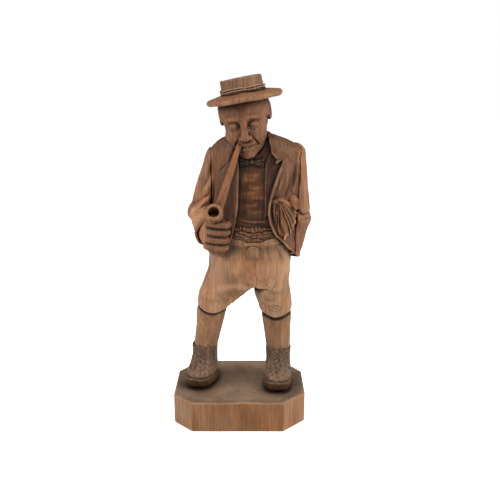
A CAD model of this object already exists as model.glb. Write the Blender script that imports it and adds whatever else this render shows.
# %% [markdown]
# A carved incense smoker: a man with a pipe on an eight-sided plinth, cut from brown-stained wood.
# The CAD frame gives every piece its place and size. This lesson carves the visible wood around it:
# each piece is a signed distance field, a function that says how far a point is from the surface.
# Fields are easy to swell, join and cut, which is what a carver does, and a small mesher skins them.

# %% Load the frame
from itertools import product

import bpy
import numpy as np
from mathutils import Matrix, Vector


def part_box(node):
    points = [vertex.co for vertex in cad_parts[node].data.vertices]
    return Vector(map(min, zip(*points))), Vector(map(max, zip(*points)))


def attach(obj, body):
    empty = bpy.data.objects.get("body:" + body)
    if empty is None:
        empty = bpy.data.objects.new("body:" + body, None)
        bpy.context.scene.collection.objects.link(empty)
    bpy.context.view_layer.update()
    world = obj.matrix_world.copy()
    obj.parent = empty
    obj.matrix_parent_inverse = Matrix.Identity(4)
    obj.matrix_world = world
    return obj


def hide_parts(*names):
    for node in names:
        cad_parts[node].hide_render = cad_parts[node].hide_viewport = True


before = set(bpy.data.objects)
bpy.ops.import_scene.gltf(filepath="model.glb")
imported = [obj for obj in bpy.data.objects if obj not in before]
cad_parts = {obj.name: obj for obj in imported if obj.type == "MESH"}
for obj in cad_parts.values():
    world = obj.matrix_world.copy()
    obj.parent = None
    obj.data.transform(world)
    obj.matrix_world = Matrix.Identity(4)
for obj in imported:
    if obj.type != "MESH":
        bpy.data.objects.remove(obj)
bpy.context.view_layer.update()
MM = 0.001
print("nodes in the frame:", len(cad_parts))

# %% [markdown]
# The frame is in metres and a carver thinks in millimetres, so sizes are read in millimetres and
# turned back when a mesh is made. `corner` gives a node's lowest and highest corner, `middle` its
# centre. The figure comes apart at the waist, `split_z`; outlines and folds below are drawn on the
# front view as (x, height above it).


# %% Read places from the frame
node_boxes = {name: np.array(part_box(name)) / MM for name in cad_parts}


def corner(node):
    return node_boxes[node]


def middle(node):
    low, high = corner(node)
    return (low + high) / 2


plinth_low, plinth_high = corner("plinth")
waist_gap = 0.4
collar_drop = 2.5
split_z = corner("sash")[0][2] - waist_gap
collar_z = corner("torso")[1][2] - collar_drop
print("plinth size in mm:", np.round(plinth_high - plinth_low, 1))

# %% [markdown]
# The carving kit. A field takes points as three arrays and returns distances: negative inside the
# wood. `oval_stack` is a loft of level ovals, `limb` a tapered round bar, `egg` an ellipsoid. `join`
# and `carve` are unions and cuts with a rounded edge, the way a knife leaves it.


# %% Curves, joins and ovals
def curve(t, knots, values):
    """A smooth curve through a few values, held level beyond its ends."""
    knots = np.asarray(knots, float)
    values = np.asarray(values, float)
    slope = np.gradient(values, knots)
    t = np.clip(t, knots[0], knots[-1])
    i = np.clip(np.searchsorted(knots, t, side="right") - 1, 0, len(knots) - 2)
    width = knots[i + 1] - knots[i]
    s = (t - knots[i]) / width
    rise = s * s * (3 - 2 * s)
    ease_in = s * (1 - s) ** 2 * width * slope[i]
    ease_out = s * s * (s - 1) * width * slope[i + 1]
    return values[i] + (values[i + 1] - values[i]) * rise + ease_in + ease_out


def join(a, b, blend):
    """Union; the corner between the two is filled over a width of blend."""
    h = np.clip(0.5 + 0.5 * (b - a) / blend, 0, 1)
    return b + (a - b) * h - blend * h * (1 - h)


def keep(a, b, blend):
    """What lies in both, with a rounded edge."""
    return -join(-a, -b, blend)


def carve(a, b, blend):
    """What is left of a when b is cut out."""
    return keep(a, -b, blend)


def oval(dx, dy, rx, ry, power=2.0):
    """Distance to a level oval; a power over 2 makes it squarer."""
    q = (np.abs(dx / rx) ** power + np.abs(dy / ry) ** power + 1e-9) ** (1 / power)
    gx = np.abs(dx / rx) ** (power - 1) / rx
    gy = np.abs(dy / ry) ** (power - 1) / ry
    steep = np.sqrt(gx * gx + gy * gy) / np.maximum(q, 1e-3) ** (power - 1)
    return (q - 1) / np.maximum(steep, 1e-3)


def oval_stack(p, rows, power=2.0, ends=1.5):
    """A loft of level ovals, each row (height, middle x, middle y, half width, half depth)."""
    x, y, z = p
    rows = np.asarray(rows, float)
    cx, cy, rx, ry = (curve(z, rows[:, 0], rows[:, k]) for k in range(1, 5))
    side = oval(x - cx, y - cy, rx, ry, power)
    return keep(side, np.maximum(rows[0, 0] - z, z - rows[-1, 0]), ends)


print("half-way along a curve from 0 to 10:", curve(0.5, [0, 1], [0, 10]))


# %% Bars, eggs and turned frames
def limb(p, a, b, ra, rb):
    """A round bar from a to b that tapers from radius ra to rb."""
    a = np.asarray(a, float)
    along = np.asarray(b, float) - a
    dx, dy, dz = (p[k] - a[k] for k in range(3))
    h = np.clip((dx * along[0] + dy * along[1] + dz * along[2]) / (along @ along), 0, 1)
    ex, ey, ez = dx - h * along[0], dy - h * along[1], dz - h * along[2]
    return np.sqrt(ex * ex + ey * ey + ez * ez) - (ra + (rb - ra) * h)


def cord_of(p, points, radius):
    """A bar along a bent line."""
    spans = [limb(p, a, b, radius, radius) for a, b in zip(points[:-1], points[1:])]
    return np.minimum.reduce(spans)


def egg(p, centre, radii):
    """An ellipsoid."""
    sx, sy, sz = (p[k] - centre[k] for k in range(3))
    rx, ry, rz = radii
    q = np.sqrt((sx / rx) ** 2 + (sy / ry) ** 2 + (sz / rz) ** 2)
    steep = np.sqrt((sx / rx**2) ** 2 + (sy / ry**2) ** 2 + (sz / rz**2) ** 2)
    return q * (q - 1) / np.maximum(steep, 1e-6)


def turned(p, centre, about_x=0.0, about_y=0.0, about_z=0.0):
    """The same points as seen from a frame that stands at centre and is turned by these degrees."""
    x, y, z = (p[k] - centre[k] for k in range(3))
    for angle, pair in ((about_z, "xy"), (about_y, "zx"), (about_x, "yz")):
        c, s = np.cos(np.radians(angle)), np.sin(np.radians(angle))
        if pair == "xy":
            x, y = c * x + s * y, c * y - s * x
        elif pair == "zx":
            z, x = c * z + s * x, c * x - s * z
        else:
            y, z = c * y + s * z, c * z - s * y
    return x, y, z


def ease(t):
    """A smooth step: 0 below 0 and 1 above 1."""
    t = np.clip(t, 0, 1)
    return t * t * (3 - 2 * t)


def bell(t):
    """1 at 0, falling away evenly on both sides."""
    return np.exp(-(t**2))


def facing(y, at, soft=0.8):
    """1 in front of a plane across the figure, 0 behind it."""
    return 1 / (1 + np.exp(np.clip((y - at) / soft, -30, 30)))


print("depth of the middle of a bar 3 mm thick:", limb((0.0, 0.0, 0.0), (0, 0, -5), (0, 0, 5), 3.0, 3.0))

# %% [markdown]
# Folds and outlines are drawn where a carver pencils them on the block, on the front view. `creases`
# cuts folds along such lines, and `patch` says how far a point is from the edge of an outline.


# %% Folds and outlines on the front view
def smooth_line(points, per_span=6):
    """More points on a smooth curve through a few (x, z) points."""
    points = np.asarray(points, float)
    knots = np.arange(len(points))
    t = np.linspace(0, len(points) - 1, per_span * (len(points) - 1) + 1)
    return np.stack([curve(t, knots, points[:, k]) for k in range(2)], 1)


def creases(p, lines):
    """Folds drawn on the front view. Each line is (width, depth, (x, height above the split) points).

    A fold is a V-cut that is steep on one side and runs out gently on the other, with a soft ridge beside
    it, and it fades out at both ends; broad folds are rounded at the bottom. A negative width puts the
    steep side on the other side.
    """
    x, z = np.asarray(p[0], float), np.asarray(p[2], float) - split_z
    total = np.zeros_like(x)
    for width, depth, points in lines:
        path = smooth_line(points)
        broad = abs(width)
        low, high = path.min(0) - 5 * broad, path.max(0) + 5 * broad
        near = (x > low[0]) & (x < high[0]) & (z > low[1]) & (z < high[1])
        px, pz = x[near], z[near]
        best = np.full(px.shape, 1e9)
        place = np.zeros_like(px)
        side = np.zeros_like(px)
        for k, (a, b) in enumerate(zip(path[:-1], path[1:])):
            run = b - a
            dx, dz = px - a[0], pz - a[1]
            h = np.clip((dx * run[0] + dz * run[1]) / (run @ run), 0, 1)
            away = np.hypot(dx - h * run[0], dz - h * run[1])
            closer = away < best
            best = np.where(closer, away, best)
            place = np.where(closer, (k + h) / (len(path) - 1), place)
            side = np.where(closer, np.sign(run[0] * dz - run[1] * dx), side)
        steep = side * np.sign(width) > 0
        fade = np.sin(np.clip(place, 0, 1) * np.pi) ** 0.7
        sharp = 1.3 if broad < 1.9 else 2.0
        valley = np.exp(-((best / (broad * np.where(steep, 0.8, 1.7))) ** sharp))
        ridge = np.where(steep, 0.45 * bell((best - 1.6 * broad) / (0.9 * broad)), 0)
        total[near] += depth * fade * (valley - ridge)
    return total


def patch(p, outline):
    """Distance on the front view to an outline of (x, height above the split): negative inside."""
    x, z = p[0], p[2] - split_z
    inside = np.zeros(x.shape, bool)
    nearest = np.full(x.shape, 1e9)
    for (ax, az), (bx, bz) in zip(outline, outline[1:] + outline[:1]):
        crosses = (az > z) != (bz > z)
        inside ^= crosses & (x < ax + (z - az) * (bx - ax) / (bz - az if bz != az else 1.0))
        along = (bx - ax) ** 2 + (bz - az) ** 2
        h = np.clip(((x - ax) * (bx - ax) + (z - az) * (bz - az)) / along, 0, 1)
        nearest = np.minimum(nearest, np.hypot(x - ax - h * (bx - ax), z - az - h * (bz - az)))
    return np.where(inside, -nearest, nearest)


def within(p, outline, soft):
    """1 inside an outline drawn on the front view and 0 outside it."""
    return ease(0.5 - patch(p, outline) / soft)


print("points on a smooth line through three:", len(smooth_line([(0, 0), (1, 1), (2, 0)])))

# %% [markdown]
# The mesher. The field is first read on a coarse grid, and only the blocks near the surface are read
# finely. Every grid cell that the surface crosses gets one point, at the mean of its crossings (naive
# surface nets), and every grid edge that it crosses gets one four-sided face. Two Newton steps then
# pull the points onto the true surface, so the steps of the grid don't show.


# %% Read a field on a grid
COARSE = 4
NEAR_BLOCKS = 2.6


def read_field(field, axes):
    """Field values on the fine grid, exact near the surface and only right in sign elsewhere."""
    step = axes[0][1] - axes[0][0]
    values = field(tuple(np.meshgrid(*[a[::COARSE] for a in axes], indexing="ij")))
    near = np.abs(values) < COARSE * step * NEAR_BLOCKS
    wide = near.copy()
    for k in range(3):
        wide |= np.roll(near, -1, axis=k)
    for k in range(3):
        values = np.repeat(values, COARSE, axis=k)
        wide = np.repeat(wide, COARSE, axis=k)
    cut = tuple(slice(0, len(a)) for a in axes)
    values = np.array(values[cut], np.float32)
    i, j, k = np.nonzero(wide[cut])
    values[i, j, k] = field((axes[0][i], axes[1][j], axes[2][k]))
    return values


def ball(p):
    return egg(p, (0, 0, 0), (1, 1, 1))


ball_axes = [np.arange(-1.5, 1.5, 0.2)] * 3
ball_values = read_field(ball, ball_axes)
print("grid points inside a ball of 1 mm:", int((ball_values < 0).sum()))


# %% Points and faces
def surface_nets(values, axes):
    """Points and four-sided faces of the surface where the values change sign."""
    inside = values < 0
    n = [s - 1 for s in values.shape]
    spots = list(product((0, 1), repeat=3))
    count = sum(inside[a : a + n[0], b : b + n[1], c : c + n[2]].astype(np.int8) for a, b, c in spots)
    crossed = (count > 0) & (count < 8)
    i, j, k = np.nonzero(crossed)
    number = np.full(n, -1, np.int64)
    number[i, j, k] = np.arange(len(i))
    total = np.zeros((len(i), 3))
    hits = np.zeros(len(i))
    for a in spots:
        for axis in range(3):
            if a[axis] == 1:
                continue
            b = list(a)
            b[axis] = 1
            first = values[i + a[0], j + a[1], k + a[2]]
            second = values[i + b[0], j + b[1], k + b[2]]
            hit = (first < 0) != (second < 0)
            t = np.where(hit, first / np.where(hit, first - second, 1), 0)
            place = np.array(a, float) + np.zeros((len(i), 3))
            place[:, axis] = t
            total += place * hit[:, None]
            hits += hit
    step = axes[0][1] - axes[0][0]
    start = np.array([a[0] for a in axes])
    points = (np.stack([i, j, k], 1) + total / hits[:, None]) * step + start
    faces = []
    for axis in range(3):
        one, two = (axis + 1) % 3, (axis + 2) % 3
        lead = [slice(None)] * 3
        lead[axis] = slice(0, -1)
        follow = [slice(None)] * 3
        follow[axis] = slice(1, None)
        first, second = inside[tuple(lead)], inside[tuple(follow)]
        e = np.stack(np.nonzero(first != second), 1)
        fits = (e[:, one] > 0) & (e[:, two] > 0) & (e[:, one] < n[one]) & (e[:, two] < n[two])
        e = e[fits]
        ring_of_cells = []
        for back_one, back_two in ((1, 1), (0, 1), (0, 0), (1, 0)):
            c = e.copy()
            c[:, one] -= back_one
            c[:, two] -= back_two
            ring_of_cells.append(number[c[:, 0], c[:, 1], c[:, 2]])
        quad = np.stack(ring_of_cells, 1)
        outward = first[e[:, 0], e[:, 1], e[:, 2]]
        quad[~outward] = quad[~outward][:, ::-1]
        faces.append(quad)
    return points, np.concatenate(faces)


print("faces of the ball:", len(surface_nets(ball_values, ball_axes)[1]))


# %% Skin a field
def slope_of(field, points, reach):
    """How fast a field grows along x, y and z at points."""
    columns = []
    for axis in range(3):
        shift = np.zeros(3)
        shift[axis] = reach
        ahead = field(tuple((points + shift).T))
        behind = field(tuple((points - shift).T))
        columns.append((ahead - behind) / (2 * reach))
    return np.stack(columns, 1)


def skin(field, low, high, step):
    """Points, faces and outward directions of a field's surface inside a box."""
    axes = [np.arange(a - 2.5 * step, b + 3.5 * step, step) for a, b in zip(low, high)]
    points, faces = surface_nets(read_field(field, axes), axes)
    for _ in range(2):
        slope = slope_of(field, points, 0.4 * step)
        steep = np.maximum((slope**2).sum(1), 0.05)
        move = -field(tuple(points.T)) / steep
        points = points + np.clip(move, -step, step)[:, None] * slope
    slope = slope_of(field, points, 0.6 * step)
    outward = slope / np.maximum(np.linalg.norm(slope, axis=1, keepdims=True), 1e-6)
    return points, faces, outward


print("skinned, the ball has", len(skin(ball, [-1] * 3, [1] * 3, 0.2)[0]), "points")

# %% [markdown]
# A knife never leaves a smooth surface. Each stroke takes a long flat or slightly hollow chip, and
# the strokes meet in ridges. `chips` scatters one hollow stroke per cell of a stretched grid: the
# deepest stroke decides the height of a point, so the surface breaks into facets. The scatter is a
# hash, so every run is the same.


# %% Tool marks
def hashed(i, j, k, seed):
    """A number from 0 to 1 for each grid cell; the large odd numbers only stir the bits."""
    n = (i * 374761393 + j * 668265263 + k * 2147483647 + seed * 1274126177) & 0xFFFFFFFF
    n = ((n ^ (n >> 13)) * 1274126177) & 0xFFFFFFFF
    n = ((n ^ (n >> 16)) * 2246822519) & 0xFFFFFFFF
    return (n ^ (n >> 15)) / 4294967296.0


def chips(points, size, seed):
    """Height left by knife strokes, about -1 to 1; size is a stroke's extent along x, y and z in mm."""
    q = points / np.asarray(size, float)
    home = np.floor(q).astype(np.int64)
    height = np.full(len(q), 9.0)
    for beside in product((-1, 0, 1), repeat=3):
        cell = home + beside
        luck = [hashed(*cell.T, seed + s) for s in range(6)]
        away = q - (cell + np.stack(luck[:3], 1))
        tilt = sum((luck[n + 3] - 0.5) * away[:, n] for n in range(3))
        height = np.minimum(height, 1.5 * (away**2).sum(1) + tilt)
    return height - 0.35


print("heights of five strokes:", np.round(chips(np.arange(15.0).reshape(5, 3), (5, 5, 9), 0), 2))

# %% [markdown]
# The forms are listed first and skinned together at the end, because old wax settles where pieces
# meet: the shading of each piece needs to know where its neighbours are.

# %% Keep a list of forms
forms = {}


def form(name, field, nodes, body, step, stroke, cut, margin=2.5, calm=None):
    """Notes one carved piece: its field, the CAD nodes it stands for, and the knife strokes that finish it.

    Where the function calm is 1, the strokes are left off.
    """
    lows, highs = zip(*[corner(n) for n in nodes])
    low = np.min(lows, axis=0) - margin
    high = np.max(highs, axis=0) + margin
    place = dict(field=field, nodes=nodes, body=body, low=low, high=high)
    forms[name] = dict(place, step=step, stroke=stroke, cut=cut, calm=calm)
    print("form", name, "size", np.round(high - low - 2 * margin, 1))


# %% [markdown]
# The dowels that hold the real pieces together mark the joints of the body, so their boxes give the
# ankles, knees, shoulders and wrist. The incense plate marks the axis of the hollow chest.

# %% Landmarks from the dowels
dowel_half = 3.0
legs_low, legs_high = corner("leg_dowels")
knees_low, knees_high = corner("knee_dowels")
shoulders_low, shoulders_high = corner("shoulder_dowels")
floor_z = corner("right_boot")[0][2]
boot_top_z = corner("right_boot")[1][2]
hem_overlap = 3.0
hem_right_z = corner("right_stocking")[1][2] - hem_overlap
hem_left_z = corner("breeches")[0][2]
right_ankle = np.array([legs_low[0] + dowel_half, legs_high[1] - dowel_half])
left_ankle = np.array([legs_high[0] - dowel_half, legs_low[1] + dowel_half])
right_knee = np.array([knees_low[0] + dowel_half, knees_low[1] + dowel_half])
left_knee = np.array([knees_high[0] - dowel_half, knees_high[1] - dowel_half])
wrist = middle("wrist_dowel")
chest_axis = middle("incense_plate")
print("ankles", right_ankle, left_ankle, "split", round(split_z, 1), "collar", round(collar_z, 1))

# %% [markdown]
# The plinth is a sawn block with its corners cut off. Its top was hollowed by hand between the rim
# and the boots, so the field takes the distance in from the rim and lets the top sink over the first
# few millimetres.

# %% Plinth
corner_cut = 15.6
right_front_cut = 13.6
rim_slope = 7.0
sawn_edge = 0.5
plinth_half = (plinth_high - plinth_low) / 2


def plinth_outline(x, y):
    """Distance to the eight-sided outline, seen from above."""
    sides = keep(np.abs(x) - plinth_half[0], np.abs(y) - plinth_half[1], sawn_edge)
    cut = np.where((x < 0) & (y < 0), right_front_cut, corner_cut)
    corners = (np.abs(x) + np.abs(y) - plinth_half[0] - plinth_half[1] + cut) / np.sqrt(2)
    return keep(sides, corners, sawn_edge)


def plinth_field(p):
    x, y, z = p
    outline = plinth_outline(x, y)
    sink = (plinth_high[2] - floor_z) * ease(-outline / rim_slope)
    sag = 0.35 * np.sin(x * 0.07 + 0.6) + 0.2 * np.sin(y * 0.11 + x * 0.05)
    ragged = (0.2 * np.sin(x * 0.19 + 1.0) + 0.12 * np.sin(x * 0.53 + 0.3)) * facing(y, -24.0, 2.0)
    rim = plinth_high[2] - 0.5 + 0.5 * sag + ragged + 1.6 * ease((y - 14) / 18)
    return keep(keep(outline, z - rim + 0.9 * sink, 0.5), -z, 0.3)


form("plinth_block", plinth_field, ["plinth"], "lower_half", step=0.75, stroke=(16, 16, 30), cut=0.06)

# %% [markdown]
# The boots are blunt: a thick, smooth band runs round the foot and is tucked in under the toe. The
# leather above it slopes up to the ankle, with knotted laces down the front and slack creases beside
# them.

# %% Boots
toe_out = {"right": -20.0, "left": -4.0}
toe_band = 8.4
heel_band = 5.6
boot_rise = boot_top_z - floor_z
boot_rows = [
    (4.5, 0, -5.2, 9.6, 16.4),
    (10.0, 0, -4.4, 9.6, 15.4),
    (15.0, 0, -2.4, 9.1, 12.8),
    (21.0, 0, -0.5, 8.8, 10.2),
    (boot_rise, 0, 0, 9.1, 9.6),
]


def boot_field(p, ankle, turn):
    x, y, z = turned(p, (*ankle, floor_z), about_z=turn)
    band_z = heel_band + (toe_band - heel_band) * ease((4.0 - y) / 16.0) - 0.012 * x * x
    tuck = 1.6 * ease((2.6 - z) / 2.6)
    undercut = 2.6 * ease((-4 - y) / 12) * np.clip(1 - z / toe_band, 0, 1)
    narrow = 1 + 0.22 * ease(y / 12)
    sole = oval(x * narrow, y + 5.4 - undercut, 10.0 - tuck, 17.5 - tuck, 2.9)
    sole = keep(sole, np.maximum(z - band_z, -z), 0.9)
    ragged = 0.5 * np.sin(x * 0.8 + turn) + 0.4 * np.sin(x * 1.7 + y * 0.6)
    upper = oval_stack((x * narrow, y, z + ragged), boot_rows, 2.4, ends=1.0)
    before = facing(y, -4.0, 1.0)
    crossing = np.sin(x * 2.1 + 1.7 * np.sin(z * 0.8) - 0.9 * z)
    hatch = np.sin(z * 2.4 + 1.3 * np.abs(x) + np.sin(x * 0.7)) + crossing
    laces = 0.05 + 0.16 * bell(x / 4.5)
    upper = upper + laces * hatch * before * ease((z - 10) / 4) * ease((25 - z) / 4)
    for rise, deep in ((21.5, 0.5), (17.4, 0.5), (12.8, 0.4)):
        slack = z - rise + 0.22 * np.abs(x) - 0.10 * y + 0.6 * np.sin(x * 0.55 + rise)
        upper = upper + deep * np.exp(-np.abs(slack) / 0.8) * ease((np.abs(x) - 3.0) / 3)
    return join(upper, sole, 0.5)


for side, ankle in (("right", right_ankle), ("left", left_ankle)):
    form(
        f"{side}_boot_carved",
        lambda p, a=ankle, t=toe_out[side]: boot_field(p, a, t),
        [f"{side}_boot"],
        "lower_half",
        step=0.45,
        stroke=(4.0, 4.0, 4.5),
        cut=0.2,
    )

# %% [markdown]
# The stockings are plain: long upright cuts that follow the grain, with the calf swelling to the
# back. A knife line is cut into them right under the hem of the breeches.

# %% Stockings
ankle_half = 8.4
calf_half = 9.5
knee_half = 10.4
hem_half = 11.0


def stocking_field(p, ankle, knee, hem_z):
    """One stocking before the knife line under the hem is cut."""
    rows = [
        (boot_top_z - 2.5, ankle[0], ankle[1], ankle_half, ankle_half),
        ((boot_top_z + hem_z) / 2, *((ankle + knee) / 2 + (0, 1.6)), calf_half, calf_half),
        (hem_z + 3.0, knee[0], knee[1], knee_half, knee_half),
        (hem_z + 6.5, *(knee + 0.2 * (knee - ankle)), knee_half - 0.4, knee_half - 0.4),
    ]
    return oval_stack(p, rows, power=2.2, ends=0.8)


def hem_edge(x, y, leg):
    """Height of a hem round the knee: lowest in front and drawn up at both sides."""
    knee, hem_z, drop, sag, lean = leg[1:]
    dx, dy = (x - knee[0]) / hem_half, (y - knee[1]) / hem_half
    return hem_z - drop + sag * dx**2 + lean * dx + 1.2 * dy + 0.25 * np.sin(5 * np.arctan2(dy, dx))


def cut_stocking(p, leg):
    below = hem_edge(p[0], p[1], leg) - p[2]
    return stocking_field(p, *leg[:3]) + 1.7 * bell((below - 1.8) / 1.6)


hems = {
    "right": (right_ankle, right_knee, hem_right_z, -1.0, 4.0, -0.5),
    "left": (left_ankle, left_knee, hem_left_z, -1.0, 2.8, 0.4),
}
for side, leg in hems.items():
    form(
        f"{side}_stocking_carved",
        lambda p, leg=leg: cut_stocking(p, leg),
        [f"{side}_stocking"],
        "lower_half",
        step=0.55,
        stroke=(5, 5, 30),
        cut=0.16,
    )

# %% [markdown]
# The breeches are two legs that bag over the knee and run up into the hips. Folds radiate from the
# crotch and gather over the hems; a small patch is sewn on his left thigh. The spigot on top plugs
# into the chest.

# %% Folds of the breeches
hip = np.array([chest_axis[0] - 1.3, chest_axis[1] - 0.5])
spigot_half = 12.25
spigot_z = corner("incense_plate")[0][2]
breeches_folds = [
    (3.4, 1.90, [(10, -29.4), (-2, -26.5), (-15, -29)]),
    (-3.0, 1.60, [(5, -32.4), (-6, -34.0), (-17, -38.5)]),
    (2.4, 1.20, [(0, -35.4), (-8, -40.4), (-13, -44.8)]),
    (2.0, 0.80, [(-27, -37), (-20, -41.4), (-12, -40.4)]),
    (3.2, 1.50, [(-15, -8), (-20.5, -20), (-23.5, -33)]),
    (1.3, 1.70, [(9.5, -30.4), (13.5, -32.8), (20.5, -32.2)]),
    (2.0, 1.00, [(18, -32.4), (24, -35.2), (31, -33.4)]),
    (-1.6, 0.80, [(15.5, -38), (20, -40.8), (26, -40)]),
    (0.8, 0.60, [(21.5, -42), (26, -45.0), (31.5, -44.8)]),
    (0.8, 0.60, [(20.5, -44), (25, -47.0), (30.5, -47)]),
    (0.8, 0.55, [(19.5, -46), (23.5, -48.8), (28.5, -49)]),
    (2.6, 1.00, [(30.0, -20), (33.3, -33), (33, -45)]),
    (2.0, 1.00, [(-4.5, 1), (-7.5, -11)]),
    (-1.6, 0.70, [(17.5, 1), (20.5, -11)]),
    (2.0, 0.90, [(24, 1), (29.5, -14)]),
]
patch_outline = [(20.5, -22.6), (17.8, -25.8), (18.8, -30), (22.8, -30.8), (25.3, -27.4), (24.2, -23.6)]
seat_folds = [
    (0.8, 0.80, [(7.5, -1), (8.0, -15), (8.4, -30)]),
    (1.1, 0.55, [(6, -27), (-6, -25), (-14, -20)]),
    (1.1, 0.55, [(11, -27), (20, -25), (27, -20)]),
    (0.9, 0.50, [(-26, -41), (-19, -43.5), (-12, -41)]),
    (0.9, 0.50, [(18, -44), (25, -46.5), (32, -44)]),
]

print("folds in front:", len(breeches_folds), "and behind:", len(seat_folds))


# %% Breeches
def belly(p):
    """How far the front of the breeches swells under the sash, in mm."""
    round_front = np.exp(-(((p[0] - 10) / 17) ** 4)) * facing(p[1], -6.0, 2.0)
    return 1.7 * round_front * ease((p[2] - split_z + 13) / 11)


def hip_field(p, grow):
    """The hips as one oval form, swollen by grow."""
    rows = [
        (split_z - 31.5, hip[0], hip[1], 23.4 + grow, 14.8 + grow),
        (split_z - 15.7, hip[0], hip[1], 28.5 + grow, 18.5 + grow),
        (split_z, hip[0] + 1.0, hip[1], 27.0 + grow, 18.0 + grow),
    ]
    return oval_stack(p, rows, power=2.05, ends=0.6)


def breeches_field(p):
    x, y, z = p
    right = [
        (hem_right_z - 3, right_knee[0], right_knee[1], 11.3, 11.6),
        (hem_right_z + 6.5, right_knee[0] + 2.5, right_knee[1], 13.6, 12.8),
        (split_z - 37.5, -11.9, (right_knee[1] + hip[1]) / 2, 16.7, 14.6),
        (split_z - 31.5, -7.4, hip[1], 18.8, 16.0),
        (split_z - 12, -2.5, hip[1], 17.7, 17.8),
        (split_z + 3, -2.5, hip[1], 17.7, 17.0),
    ]
    left = [
        (hem_left_z - 3, left_knee[0] - 0.1, left_knee[1], 10.9, 11.4),
        (hem_left_z + 7, left_knee[0] - 0.7, left_knee[1], 11.9, 12.6),
        (split_z - 36, 22.9, (left_knee[1] + hip[1]) / 2, 12.5, 14.6),
        (split_z - 29.5, 22.4, hip[1], 12.4, 16.0),
        (split_z - 12, 16.9, hip[1], 17.7, 17.8),
        (split_z + 3, 16.9, hip[1], 17.7, 17.0),
    ]
    legs = join(oval_stack(p, right, 2.1, 1.3), oval_stack(p, left, 2.1, 1.3), 4.0)
    cloth = join(legs, hip_field(p, -0.8), 4.0)
    before = facing(y, hip[1])
    cloth = cloth - belly(p) + creases(p, breeches_folds) * before + creases(p, seat_folds) * (1 - before)
    sewn = patch(p, patch_outline)
    cloth = cloth + (0.3 * bell(sewn / 0.45) - 0.1 * ease(-sewn / 1.6)) * before
    cloth = keep(cloth, z - split_z, 0.15)
    for side, here in (("right", x < right_knee[0] + 14), ("left", x > left_knee[0] - 12)):
        edge = hem_edge(x, y, hems[side])
        cloth = keep(cloth, np.where(here, edge - z, -9.0), 0.4)
        under = np.maximum(stocking_field(p, *hems[side][:3]) - 0.4, z - edge - 7.0)
        under = np.maximum(under, cloth + 1.0)
        cloth = carve(cloth, np.where(here, under, 9.0), 0.2)
    spigot = [(end_z, *chest_axis[:2], spigot_half, spigot_half) for end_z in (split_z - 4, spigot_z)]
    return join(cloth, oval_stack(p, spigot, ends=0.4), 0.2)


form("breeches_carved", breeches_field, ["breeches"], "lower_half", step=0.55, stroke=(8, 8, 15), cut=0.42)

# %% [markdown]
# One round button closes the breeches: a shallow dome with a cut line near its edge.

# %% Button
button_low, button_high = corner("breeches_button")
button_middle = middle("breeches_button")
button_half = (button_high[0] - button_low[0]) / 2


def button_field(p):
    x, y, z = (p[k] - button_middle[k] for k in range(3))
    y = y + belly(p)
    across = np.hypot(x, z)
    face = button_low[1] - button_middle[1]
    dome = 0.3 * np.cos(across / button_half * 1.4)
    disc = keep(across - button_half, np.maximum(face + 0.9 - dome - y, y - face - 3.0), 0.5)
    return disc + 0.25 * bell((across - button_half + 1.3) / 0.4)


form(
    "button_turned", button_field, ["breeches_button"], "lower_half", step=0.35, stroke=(3, 3, 3), cut=0.08
)

# %% [markdown]
# The coat hangs open over the waistcoat. The coat is one swelling form; an opening drawn on the front
# view is cut out of it, down to a second, smaller form that is the waistcoat. Lapels and collar are
# outlines on the front view too, raised a little, and long folds run down from the armholes.

# %% Outlines and folds of the coat
coat_thickness = 3.2
coat_squareness = 2.25
coat_rows = [
    (split_z - 8.0, 8.2, 30.5, 22.0),
    (split_z, 8.2, 29.7, 21.2),
    (split_z + 18.9, 9.6, 28.25, 20.5),
    (split_z + 38.5, 11.0, 28.5, 19.5),
    (collar_z - 15.0, 11.0, 29.0, 16.5),
    (collar_z - 5.0, 11.0, 27.0, 14.75),
    (collar_z, 9.5, 18.0, 13.0),
    (collar_z + 2.5, 9.5, 10.8, 7.8),
]
opening = [
    (-12, -11), (41, -11), (33.5, -4), (28.2, 2.3), (24, 6.3), (20.4, 14.1), (19, 21.5), (19.4, 27.4),
    (21.6, 36.8), (24.9, 46.1), (28.6, 56.2), (23.9, 53.6), (24.6, 57.3), (21.4, 61), (20.5, 66), (17, 76),
    (0, 76), (-3, 65), (0.2, 54), (-0.6, 27), (-2, 16), (-4, 8), (-5.4, 2.5), (-8, -3),
]
lining = [(17.2, 19), (17.0, 41), (17.4, 54), (21, 63), (34, 59), (22, 23)]
left_collar = [(19.2, 70), (21.2, 61), (24.4, 57.2), (27.4, 57.6), (32.5, 60), (31, 65), (26, 72)]
right_collar = [(-2.0, 67), (-6.6, 55.4), (-13.4, 49.2), (-15.0, 51.5), (-15.6, 60), (-9, 70)]
right_lapel = [(-1.2, 56), (-6.8, 54.6), (-12.2, 48.2), (-9.4, 36), (-5.4, 24), (-0.8, 17), (-0.8, 38)]
coat_folds = [
    (1.5, 1.00, [(-16, 50), (-13.6, 39), (-16.5, 26)]),
    (-1.3, 0.80, [(-12.6, 47), (-10.4, 34), (-12.6, 18)]),
    (1.2, 0.70, [(-7.8, 28), (-7.0, 15), (-5.2, 1)]),
    (2.0, 1.80, [(37.4, 57), (35.2, 41), (29.8, 30)]),
    (-1.4, 1.20, [(32.6, 55), (29.6, 41), (25.6, 31)]),
    (1.1, 0.90, [(35, 47), (32.4, 37), (28.6, 30)]),
    (1.1, 0.80, [(28.6, 49), (25.2, 37), (22.6, 26)]),
    (1.1, 0.90, [(23.2, 28), (22.6, 20), (25, 9)]),
    (1.0, 0.50, [(31.5, 61), (33.4, 56), (36.6, 51.5)]),
]
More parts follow.
